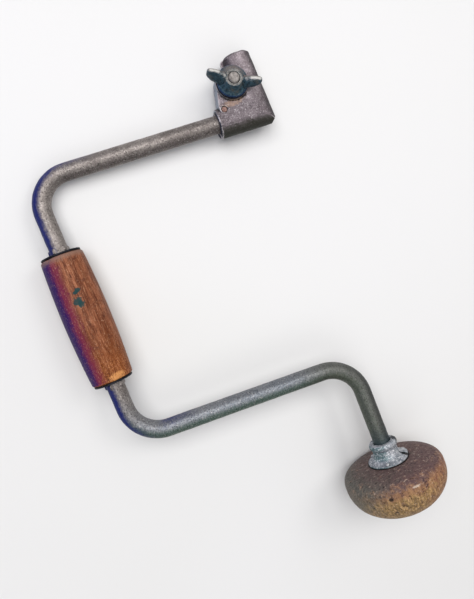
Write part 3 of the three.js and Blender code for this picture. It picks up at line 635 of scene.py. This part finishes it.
def handle_wood():
    """Red-brown stained sleeve: fine long grain, worn pale at one end, with painted blue light, purple on
    the red wood, on its outer side.
    """
    finish = Finish("handle_wood", HANDLE, gloss=0.12)
    fine = finish.noise((0.5 * MM, 7 * MM, 0.5 * MM), 5, 0.7, 0.0, 0.3)
    broad = finish.noise((2.6 * MM, 30 * MM, 2.6 * MM), 5, 0.65, 5.0, 0.4)
    blotch = finish.noise(6 * MM, 5, 0.7, 8.0)
    specks = finish.noise(0.9 * MM, 4, 0.78, 3.0)
    half = extent("handle_sleeve", HANDLE)[1].y
    colour = finish.blend(finish.between(broad, 0.36, 0.62), "5e301c", "8c5439")
    foot = finish.between(finish.along("Y"), 5 * MM, -35 * MM)
    colour = finish.painted(colour, foot, "763c12", 0.6)
    colour = finish.painted(colour, finish.between(fine, 0.52, 0.66), "b27e5c", 0.75)
    colour = finish.painted(colour, finish.between(fine, 0.48, 0.36), "3d1a10", 0.85)
    colour = finish.painted(colour, finish.between(blotch, 0.54, 0.68), "48251b", 0.75)
    low_end = finish.between(finish.along("Y"), -18 * MM, -40 * MM)
    amber = finish.both(low_end, finish.between(specks, 0.5, 0.62))
    colour = finish.painted(colour, amber, "b9732f", 0.5)
    lean = finish.swing(blotch, 0.4)
    # Painted blue light, purple on the red wood, on the side that faces left.
    colour = finish.painted(colour, finish.flank(-RIGHT, lean, -0.12, 0.28), "6e2040", 0.82)
    colour = finish.painted(colour, finish.flank(-RIGHT, lean, 0.25, 0.55), "220a52", 0.95)
    colour = finish.painted(colour, finish.between(specks, 0.56, 0.68), "c9a083", 0.6)
    colour = finish.painted(colour, finish.between(specks, 0.44, 0.33), "2a120c", 0.8)
    reach = finish.maths("ADD", finish.along("Y"), finish.swing(specks, 6 * MM))
    colour = finish.painted(colour, finish.between(reach, half - 5 * MM, half - 1 * MM), "80665a", 0.75)
    worn = finish.both(finish.spot(*WORN_PATCH, 0.9), finish.between(fine, 0.36, 0.55))
    colour = finish.painted(colour, worn, "c98d55", 0.9)
    for centre, size in PAINT_SPOTS:
        colour = finish.painted(colour, finish.spot(centre, size, 1.3, 1.5 * MM), "12383a", 0.92)
    rough = finish.between(fine, 0.3, 0.7, 0.6, 0.36)
    return finish.dress(colour, rough, (fine, 0.2 * MM), (specks, 0.14 * MM))


# A dark dent and a pale scratch on the knob, in BRACE, and the painted shadow round the ferrule's flange:
# its inner and outer radius and the height along Y where it starts.
KNOB_DENT = ((-19.4 * MM, 3.5 * MM, 32.8 * MM), (1.5 * MM, 1.2 * MM, 2.5 * MM))
KNOB_SCRATCH = ((0.0 * MM, 7.0 * MM, 37.8 * MM), (3.2 * MM, 0.7 * MM, 2 * MM))
KNOB_FLANGE_SHADOW = (14.4 * MM, 16.4 * MM, 12 * MM)


def knob_wood():
    """Turned hardwood: streaked along its axis, grimy at the ferrule, golden where the palm rubs it, with
    painted warm light on its right, painted cool shade on its left and a painted shadow round the ferrule's
    flange.
    """
    finish = Finish("knob_wood", BRACE)
    rings = finish.noise((2.4 * MM, 9 * MM, 1.4 * MM), 5, 0.68, 0.0, 0.5)
    fine = finish.noise((1.3 * MM, 7 * MM, 1.3 * MM), 5, 0.7, 3.0, 0.3)
    dirt = finish.noise(5 * MM, 5, 0.72, 6.0)
    specks = finish.noise((2.2 * MM, 1.4 * MM, 1.2 * MM), 5, 0.72, 9.0)
    colour = finish.blend(finish.between(rings, 0.36, 0.64), "705a3e", "a08255")
    colour = finish.painted(colour, finish.between(fine, 0.52, 0.66), "cfa877", 0.8)
    colour = finish.painted(colour, finish.between(fine, 0.47, 0.35), "3a2c1f", 0.85)
    height = finish.maths("ADD", finish.along("Y"), finish.swing(dirt, 26 * MM))
    colour = finish.painted(colour, finish.between(height, -16 * MM, -23 * MM), "5a4c33", 0.6)
    colour = finish.painted(colour, finish.between(height, -2 * MM, 5 * MM), "8a5f48", 0.6)
    colour = finish.painted(colour, finish.between(height, 3 * MM, 12 * MM), "514046", 0.85)
    # Painted warm light on the side that faces right.
    painted_warm_light = finish.between(finish.maths("ADD", finish.facing(RIGHT), finish.swing(dirt, 1.2)), 0.15, 0.8)
    colour = finish.painted(colour, painted_warm_light, "825340", 0.5)
    # Painted cool shade on the side that faces left.
    painted_cool_shade = finish.between(finish.maths("ADD", finish.facing(-RIGHT), finish.swing(dirt, 0.9)), 0.2, 0.85)
    colour = finish.painted(colour, painted_cool_shade, "5b5d55", 0.8)
    colour = finish.painted(colour, finish.between(dirt, 0.54, 0.66), "33272a", 0.75)
    colour = finish.painted(colour, finish.between(dirt, 0.42, 0.33), "b08f78", 0.55)
    colour = finish.painted(colour, finish.between(specks, 0.56, 0.67), "c6b09d", 0.6)
    colour = finish.painted(colour, finish.between(specks, 0.46, 0.35), "1f1511", 0.85)
    # Painted shadow round the ferrule's flange.
    colour = finish.painted(colour, finish.ring_share(*KNOB_FLANGE_SHADOW), "120d0c", 0.92)
    colour = finish.painted(colour, finish.spot(*KNOB_DENT, 0.7), "1c1512", 0.85)
    colour = finish.painted(colour, finish.spot(*KNOB_SCRATCH, 1.3, 0.8 * MM), "e0d4c4", 0.4)
    rough = finish.between(specks, 0.3, 0.7, 0.66, 0.42)
    return finish.dress(colour, rough, (fine, 0.2 * MM), (specks, 0.24 * MM))


def pin_steel():
    """Rusty steel."""
    finish = Finish("pin_steel", CLAMP, metallic=0.2)
    rust = finish.noise(0.9 * MM, 4, 0.7)
    colour = finish.blend(finish.between(rust, 0.4, 0.62), "70524c", "a5887e")
    return finish.dress(colour, finish.between(rust, 0.3, 0.7, 0.5, 0.85), (rust, 0.15 * MM))


BAR_STEEL = bar_steel()
CHUCK_IRON = chuck_iron()
NUT_IRON = nut_iron()
WASHER_STEEL = washer_steel()
FERRULE_METAL = ferrule_metal()
BOLT_STEEL = bright_steel("bolt_steel", CLAMP, "6c6764", "928d89", "3a3634")
NAIL_STEEL = bright_steel("nail_steel", BRACE, "8a8c90", "c4c6c8", "33353a")
HANDLE_WOOD = handle_wood()
KNOB_WOOD = knob_wood()
PIN_STEEL = pin_steel()

# ---- crank rod ----

ROD_STEP = 0.62 * MM
ROD_SIDES = 64
ROD_CAP_RINGS = 8
BEND_POINTS = 40
ROD_RADIUS = 6.35 * MM

# The arms' middle lines in BRACE: their Y where X is 0, and how far they fall for each metre of X.
ARM_HEIGHTS = {"upper": 290.8 * MM, "lower": 95.6 * MM}
ARM_SLOPES = {"upper": 0.0391, "lower": 0.0742}
BEND_RADII = [23.1 * MM, 24.7 * MM, 26.1 * MM]
ARM_END_X = 7 * MM
SPINDLE_SHOULDER_Y = 15.5 * MM

# The nibs swaged round the bar beside each end of the handle.
NIB_COUNT = 5
NIB_TURN = math.radians(-28)
NIB_HEIGHT = 1.2 * MM
NIB_HALF_WIDTH = 1.3 * MM
NIB_HALF_LENGTH = 2.2 * MM
NIB_GAP = 0.3 * MM

PIN_CLEARANCE = 0.3 * MM


def bent_line(corners, radii):
    """Straight runs joined by circular bends, as evenly spaced points."""
    path = [corners[0]]
    for before, corner, after, radius in zip(corners, corners[1:], corners[2:], radii):
        into = (corner - before) / np.linalg.norm(corner - before)
        out = (after - corner) / np.linalg.norm(after - corner)
        turn = math.acos(into @ out)
        inward = out - (out @ into) * into
        inward /= np.linalg.norm(inward)
        start = corner - into * radius * math.tan(turn / 2)
        for angle in np.linspace(0, turn, BEND_POINTS):
            path.append(start + radius * (math.sin(angle) * into + (1 - math.cos(angle)) * inward))
    path.append(corners[-1])
    return evenly(np.array(path), ROD_STEP)


def rod_line(throw):
    def arm(which, x):
        return np.array([x, ARM_HEIGHTS[which] - ARM_SLOPES[which] * x])

    corners = [
        arm("upper", ARM_END_X),
        arm("upper", -throw),
        arm("lower", -throw),
        arm("lower", 0.0),
        np.array([0.0, SPINDLE_SHOULDER_Y]),
    ]
    return bent_line(corners, BEND_RADII)


def swept_bar(name, line):
    """A round bar with flat ends along a line in the crank's plane."""
    tangents = np.gradient(line, axis=0)
    tangents /= np.linalg.norm(tangents, axis=1)[:, None]
    across = np.stack([-tangents[:, 1], tangents[:, 0], np.zeros(len(line))], axis=1)[:, None, :]
    upright = np.array([0.0, 0.0, 1.0])
    angles = np.linspace(0, FULL_TURN, ROD_SIDES, endpoint=False)[:, None]
    spokes = ROD_RADIUS * (across * np.cos(angles) + upright * np.sin(angles))
    centre = np.pad(line, ((0, 0), (0, 1)))[:, None, :]
    shares = np.linspace(0, 1, ROD_CAP_RINGS, endpoint=False)[:, None, None]
    start = centre[0] + shares * spokes[0]
    end = centre[-1] + shares[::-1] * spokes[-1]
    return sheet_mesh(name, np.concatenate([start, centre + spokes, end]))


def nibs(points, throw, seats):
    """How far the nibs swaged round the bar stand out of it at each point."""
    around = np.arctan2(points[:, 0] + throw, points[:, 2])
    share = np.zeros(len(points))
    for i in range(NIB_COUNT):
        turn = NIB_TURN + FULL_TURN * i / NIB_COUNT
        aside = np.abs(np.angle(np.exp(1j * (around - turn)))) * ROD_RADIUS
        width = rise(-aside, -NIB_HALF_WIDTH, -0.35 * NIB_HALF_WIDTH)
        for seat in seats:
            length = rise(-np.abs(points[:, 1] - seat), -NIB_HALF_LENGTH, -0.5 * NIB_HALF_LENGTH)
            share = np.maximum(share, width * length)
    on_bow = np.abs(points[:, 0] + throw) < 2 * ROD_RADIUS
    return NIB_HEIGHT * share * on_bow


def notched(points):
    """The bar's points, pressed out of the guide pin's hole."""
    low, high = (np.array(corner) for corner in extent("guide_pin", BRACE))
    middle = (low + high)[:2] / 2
    hole = (high - low)[0] / 2 + PIN_CLEARANCE
    off = points[:, :2] - middle
    away = np.linalg.norm(off, axis=1)[:, None]
    pressed = middle + off / np.maximum(away, 1e-9) * hole
    moved = points.copy()
    moved[:, :2] = np.where(away < hole, pressed, points[:, :2])
    return moved


def crank_rod():
    throw = (BRACE.translation - HANDLE.translation).dot(ASIDE)
    handle_y = (HANDLE.translation - BRACE.translation).dot(ALONG)
    nib_reach = extent("handle_upper_washer", HANDLE)[1].y + NIB_GAP + NIB_HALF_LENGTH
    seats = (handle_y - nib_reach, handle_y + nib_reach)
    mesh = swept_bar("crank_bar", rod_line(throw))

    def relief(points):
        pits = np.minimum(ripple(points, 1.3 * MM, 2), 0.0)
        return 0.09 * MM * ripple(points, 6 * MM, 2, 7.0) + 0.07 * MM * pits + nibs(points, throw, seats)

    raised(mesh, relief)
    reshaped(mesh, notched(points_of(mesh)))
    add_piece(marked_edges(mesh, 8), BRACE, "crank", "bar_steel", BAR_STEEL, "crank_rod")


crank_rod()

# ---- handle ----

HANDLE_EDGE_ROUND = 1.6 * MM
HANDLE_END_RADIUS = 14.6 * MM
HANDLE_BORE_RADIUS = 6.75 * MM
HANDLE_STEP = 0.55 * MM
HANDLE_PROFILE_POINTS = 41
PLATE_FILLET = 0.3 * MM
PLATE_STEP = 0.35 * MM


def handle_sleeve():
    widest, half, _ = extent("handle_sleeve", HANDLE)[1]
    straight = half - HANDLE_EDGE_ROUND
    along = np.linspace(-straight, straight, HANDLE_PROFILE_POINTS)
    bulge = (widest - HANDLE_END_RADIUS) * (1 - (along / straight) ** 2)
    barrel = [(HANDLE_END_RADIUS + b, y, 0) for b, y in zip(bulge, along)]
    angles = np.linspace(0, math.pi / 2, 6)[1:]
    corner = HANDLE_END_RADIUS - HANDLE_EDGE_ROUND
    top = [
        (corner + HANDLE_EDGE_ROUND * math.cos(a), straight + HANDLE_EDGE_ROUND * math.sin(a), 0)
        for a in angles
    ]
    bottom = [(radius, -y, 0) for radius, y, _ in reversed(top)]
    outline = [(HANDLE_BORE_RADIUS, -half, 0), *bottom, *barrel, *top, (HANDLE_BORE_RADIUS, half, 0)]
    mesh = turned("handle_grip", filleted(outline, HANDLE_STEP), HANDLE_STEP, closes=True)

    def relief(points):
        outside = rise(np.hypot(points[:, 0], points[:, 2]), 9 * MM, 12 * MM)
        grain = ripple(points, (1.1 * MM, 16 * MM, 1.1 * MM), 3)
        wobble = ripple(points, (14 * MM, 26 * MM, 14 * MM), 1, 3.0)
        chips = np.minimum(ripple(points, (2.2 * MM, 3 * MM, 2.2 * MM), 2, 9.0) + 0.1, 0)
        near_end = rise(np.abs(points[:, 1]), half - 4 * MM, half - 0.5 * MM)
        return outside * (0.06 * MM * grain + 0.12 * MM * wobble + 0.7 * MM * chips * near_end)

    raised(mesh, relief)
    add_piece(marked_edges(mesh, 8), HANDLE, "handle", "handle_wood", HANDLE_WOOD, "handle_sleeve")


def plate(name, node):
    """A plain washer with worn edges, from its CAD node's outside."""
    low, high = extent(node, HANDLE)
    middle = (low + high) / 2
    radius = high.x - middle.x
    outline = [
        (HANDLE_BORE_RADIUS, low.y, PLATE_FILLET),
        (radius, low.y, PLATE_FILLET),
        (radius, high.y, PLATE_FILLET),
        (HANDLE_BORE_RADIUS, high.y, PLATE_FILLET),
    ]
    return turned(name, filleted(outline, PLATE_STEP), PLATE_STEP, closes=True)


def handle_plates():
    for name, node in (
        ("handle_top_plate", "handle_upper_washer"),
        ("handle_foot_plate", "handle_lower_washer"),
    ):
        mesh = raised(plate(name, node), lambda points: 0.05 * MM * ripple(points, 3 * MM, 2))
        add_piece(marked_edges(mesh, 6), HANDLE, "handle", "washer_steel", WASHER_STEEL, node)


handle_sleeve()
handle_plates()

# ---- knob, ferrule and nails ----

KNOB_FERRULE_POWER = 3.4
KNOB_PALM_POWER = 2.17
KNOB_RECESS_RADIUS = 10.8 * MM
KNOB_FACE_RADIUS = KNOB_RECESS_RADIUS + 6 * MM
KNOB_RECESS_FLOOR_Y = 7.9 * MM
KNOB_PALM_DEPTH = 27.1 * MM
KNOB_FERRULE_DEPTH = 12.6 * MM
KNOB_STEP = 0.6 * MM
KNOB_PROFILE_POINTS = 160
FERRULE_VOXEL = 0.26 * MM
NAIL_VOXEL = 0.16 * MM

# How high the flange is bent up beside its slit, how far round, in radians, that fades out, and the
# radii between which it rises.
FLANGE_LIFT = 1.5 * MM
FLANGE_LIFT_SPREAD = 1.2
FLANGE_LIFT_RADII = (10 * MM, 13 * MM)


def superellipse(radius, depth, power):
    """A quarter outline from the widest circle to the pole, as (radius, along)."""
    angles = np.linspace(0, math.pi / 2, KNOB_PROFILE_POINTS)
    return np.stack([radius * np.cos(angles) ** (2 / power), depth * np.sin(angles) ** (2 / power)], axis=1)


def knob_head():
    low, high = extent("knob_head", BRACE)
    radius = (high.x - low.x) / 2
    palm = superellipse(radius, KNOB_PALM_DEPTH, KNOB_PALM_POWER)[::-1] * [1, -1] + [0, KNOB_WIDEST_Y]
    front = superellipse(radius, KNOB_FERRULE_DEPTH, KNOB_FERRULE_POWER) + [0, KNOB_WIDEST_Y]
    front = front[(front[:, 0] > KNOB_FACE_RADIUS) & (front[:, 1] < high.y)]
    recess = np.array([
        [KNOB_RECESS_RADIUS, high.y],
        [KNOB_RECESS_RADIUS, KNOB_RECESS_FLOOR_Y],
        [0, KNOB_RECESS_FLOOR_Y],
    ])
    profile = evenly(np.concatenate([palm, front[1:], recess]), KNOB_STEP)
    profile[[0, -1], 0] = 0
    mesh = turned("knob_pad", profile, KNOB_STEP)

    def relief(points):
        away = np.hypot(points[:, 0], points[:, 2])
        outside = rise(away, KNOB_RECESS_RADIUS + 1 * MM, KNOB_FACE_RADIUS)
        outside = np.maximum(outside, rise(-points[:, 1], -4 * MM, 2 * MM))
        grain = ripple(points, (3 * MM, 14 * MM, 0.9 * MM), 3)
        wobble = ripple(points, 22 * MM, 1, 5.0)
        return outside * (0.07 * MM * grain + 0.15 * MM * wobble)

    raised(mesh, relief)
    add_piece(marked_edges(mesh, 8), BRACE, "knob", "knob_wood", KNOB_WOOD, "knob_head")


def lifted_flange(points):
    """The ferrule's points, with the flange bent up on one side of its slit."""
    past_slit = FLANGE_SLIT_TURN - np.arctan2(points[:, 2], points[:, 0])
    share = rise(past_slit, 0, 0.02) * rise(-past_slit, -FLANGE_LIFT_SPREAD, -0.1)
    share *= rise(np.hypot(points[:, 0], points[:, 2]), *FLANGE_LIFT_RADII)
    moved = points.copy()
    moved[:, 1] += FLANGE_LIFT * share
    return moved


def knob_ferrule():
    mesh = refined("ferrule_quill", "knob_ferrule", BRACE, FERRULE_VOXEL, 5)

    def relief(points):
        chipped = rise(-np.linalg.norm(points - np.array(CUFF_BREAK[0]), axis=1), -4 * MM, -1.5 * MM)
        dents = 0.16 * MM * ripple(points, 3.6 * MM, 2, 2.0) + 0.05 * MM * ripple(points, 1.2 * MM, 2)
        return dents + 0.6 * MM * chipped * ripple(points, 1.8 * MM, 2, 4.0)

    raised(mesh, relief)
    reshaped(mesh, lifted_flange(points_of(mesh)))
    add_piece(marked_edges(mesh, 10), BRACE, "knob", "ferrule_metal", FERRULE_METAL, "knob_ferrule")


def ferrule_nails():
    for number in (1, 2, 3):
        node = f"ferrule_nail_{number}"
        mesh = refined(f"ferrule_nail_fine_{number}", node, BRACE, NAIL_VOXEL, 4)
        raised(mesh, lambda points: 0.08 * MM * ripple(points, 1.1 * MM, 2))
        add_piece(marked_edges(mesh, 6), BRACE, "knob", "nail_steel", NAIL_STEEL, node)


knob_head()
knob_ferrule()
ferrule_nails()

# ---- chuck and clamp ----

SHELL_VOXEL = 0.36 * MM
NUT_VOXEL = 0.26 * MM


def cast_relief(points):
    return 0.14 * MM * ripple(points, 4.5 * MM, 2, 1.0) + 0.07 * MM * ripple(points, 1.1 * MM, 2, 6.0)


def chuck_shells():
    for name, node, body in (
        ("chuck_front_casting", "chuck_front_shell", "front_jaw"),
        ("chuck_rear_casting", "chuck_rear_shell", "crank"),
    ):
        mesh = refined(name, node, CLAMP, SHELL_VOXEL, 6)
        raised(mesh, cast_relief)
        add_piece(marked_edges(mesh, 14), CLAMP, body, "chuck_iron", CHUCK_IRON, node)


def small_steel(node, body, slot, material, voxel, dent_depth, dent_width, rounds):
    """One of the clamp's steel pieces: its CAD node's mesh, made finer and dented."""
    mesh = refined(f"{node}_fine", node, CLAMP, voxel, 4)
    raised(mesh, lambda points: dent_depth * ripple(points, dent_width, 2))
    add_piece(marked_edges(mesh, rounds), CLAMP, body, slot, material, node)


def clamp_pieces():
    nut = refined("wing_nut_casting", "wing_nut", CLAMP, NUT_VOXEL, 5)
    raised(nut, lambda points: 0.6 * cast_relief(points))
    add_piece(marked_edges(nut, 14), CLAMP, "wing_nut", "nut_iron", NUT_IRON, "wing_nut")
    small_steel("clamp_bolt", "crank", "bolt_steel", BOLT_STEEL, 0.24 * MM, 0.09 * MM, 1.5 * MM, 8)
    small_steel("clamp_washer", "front_jaw", "washer_steel", WASHER_STEEL, 0.26 * MM, 0.08 * MM, 2.5 * MM, 8)
    small_steel("guide_pin", "crank", "pin_steel", PIN_STEEL, 0.18 * MM, 0.07 * MM, 0.9 * MM, 6)


chuck_shells()
clamp_pieces()

# Pieces inside the knob keep their CAD meshes.
for node in ("spindle_washer", "knob_thrust_disc"):
    inner = frame["nodes"][node]
    for slot in inner.material_slots:
        slot.material = WASHER_STEEL

# ---- floor and light ----

FLOOR_HALF_WIDTH = 3.0
FLOOR_CORNERS = [(-1, -1), (1, -1), (1, 1), (-1, 1)]


def add_floor():
    mesh = bpy.data.meshes.new("floor")
    work = bmesh.new()
    corners = [work.verts.new((FLOOR_HALF_WIDTH * x, FLOOR_HALF_WIDTH * y, 0)) for x, y in FLOOR_CORNERS]
    work.faces.new(corners)
    work.to_mesh(mesh)
    work.free()
    finish = Finish("floor_paper", Matrix.Identity(4))
    mottle = finish.noise(0.4, 2, 0.5)
    colour = finish.blend(finish.between(mottle, 0.35, 0.65), "d9d9d8", "dcdcdc")
    mesh.materials.append(finish.dress(colour, 0.9, (finish.noise(1.5 * MM, 2), 0.02 * MM)))
    floor = bpy.data.objects.new("floor", mesh)
    scene.collection.objects.link(floor)


def add_softbox(name, towards, distance, size, power, colour):
    """A square area light in a direction told as (right, up, back) of the camera, aimed at the brace."""
    lamp = bpy.data.lights.new(name, "AREA")
    lamp.shape = "SQUARE"
    lamp.size = size
    lamp.energy = power
    lamp.color = colour
    light = bpy.data.objects.new(name, lamp)
    back = (RIGHT * towards[0] + UP * towards[1] + BACK * towards[2]).normalized()
    side = Vector((0, 1, 0)).cross(back).normalized()
    light.matrix_world = aimed(back * distance, back, side)
    scene.collection.objects.link(light)


def add_world():
    """A studio that is bright on the right and above, and dim blue on the left and below."""
    world = bpy.data.worlds.new("studio")
    world.use_nodes = True
    nodes, links = world.node_tree.nodes, world.node_tree.links
    towards = nodes.new("ShaderNodeTexCoord").outputs["Generated"]
    side = nodes.new("ShaderNodeVectorMath")
    side.operation = "DOT_PRODUCT"
    side.inputs[1].default_value = (RIGHT * 0.8 + UP * 0.6).normalized()
    links.new(towards, side.inputs[0])
    ramp = nodes.new("ShaderNodeValToRGB")
    dim, bright = ramp.color_ramp.elements
    dim.color = (0.3, 0.32, 0.42, 1)
    bright.color = (1.0, 0.98, 0.95, 1)
    share = nodes.new("ShaderNodeMath")
    share.operation = "MULTIPLY_ADD"
    share.inputs[1].default_value = 0.5
    share.inputs[2].default_value = 0.5
    links.new(side.outputs["Value"], share.inputs[0])
    links.new(share.outputs[0], ramp.inputs[0])
    background = nodes["Background"]
    links.new(ramp.outputs[0], background.inputs["Color"])
    background.inputs["Strength"].default_value = 0.56
    scene.world = world


def add_lights():
    add_softbox("overhead", (-0.04, 0.2, 1.0), 1.7, 1.2, 22.8, (1.0, 0.99, 0.985))
    add_softbox("key", (0.6, 0.4, 0.8), 1.3, 0.5, 3.4, (1.0, 0.98, 0.96))
    add_softbox("front_fill", (0.3, -0.7, 0.9), 1.4, 0.9, 3.0, (1.0, 0.99, 0.96))
    add_softbox("blue_side", (-1.0, 0.0, 0.3), 0.9, 0.4, 0.8, (0.25, 0.28, 1.0))
    add_world()
    scene.view_settings.view_transform = "Standard"


add_camera()
add_floor()
add_lights()
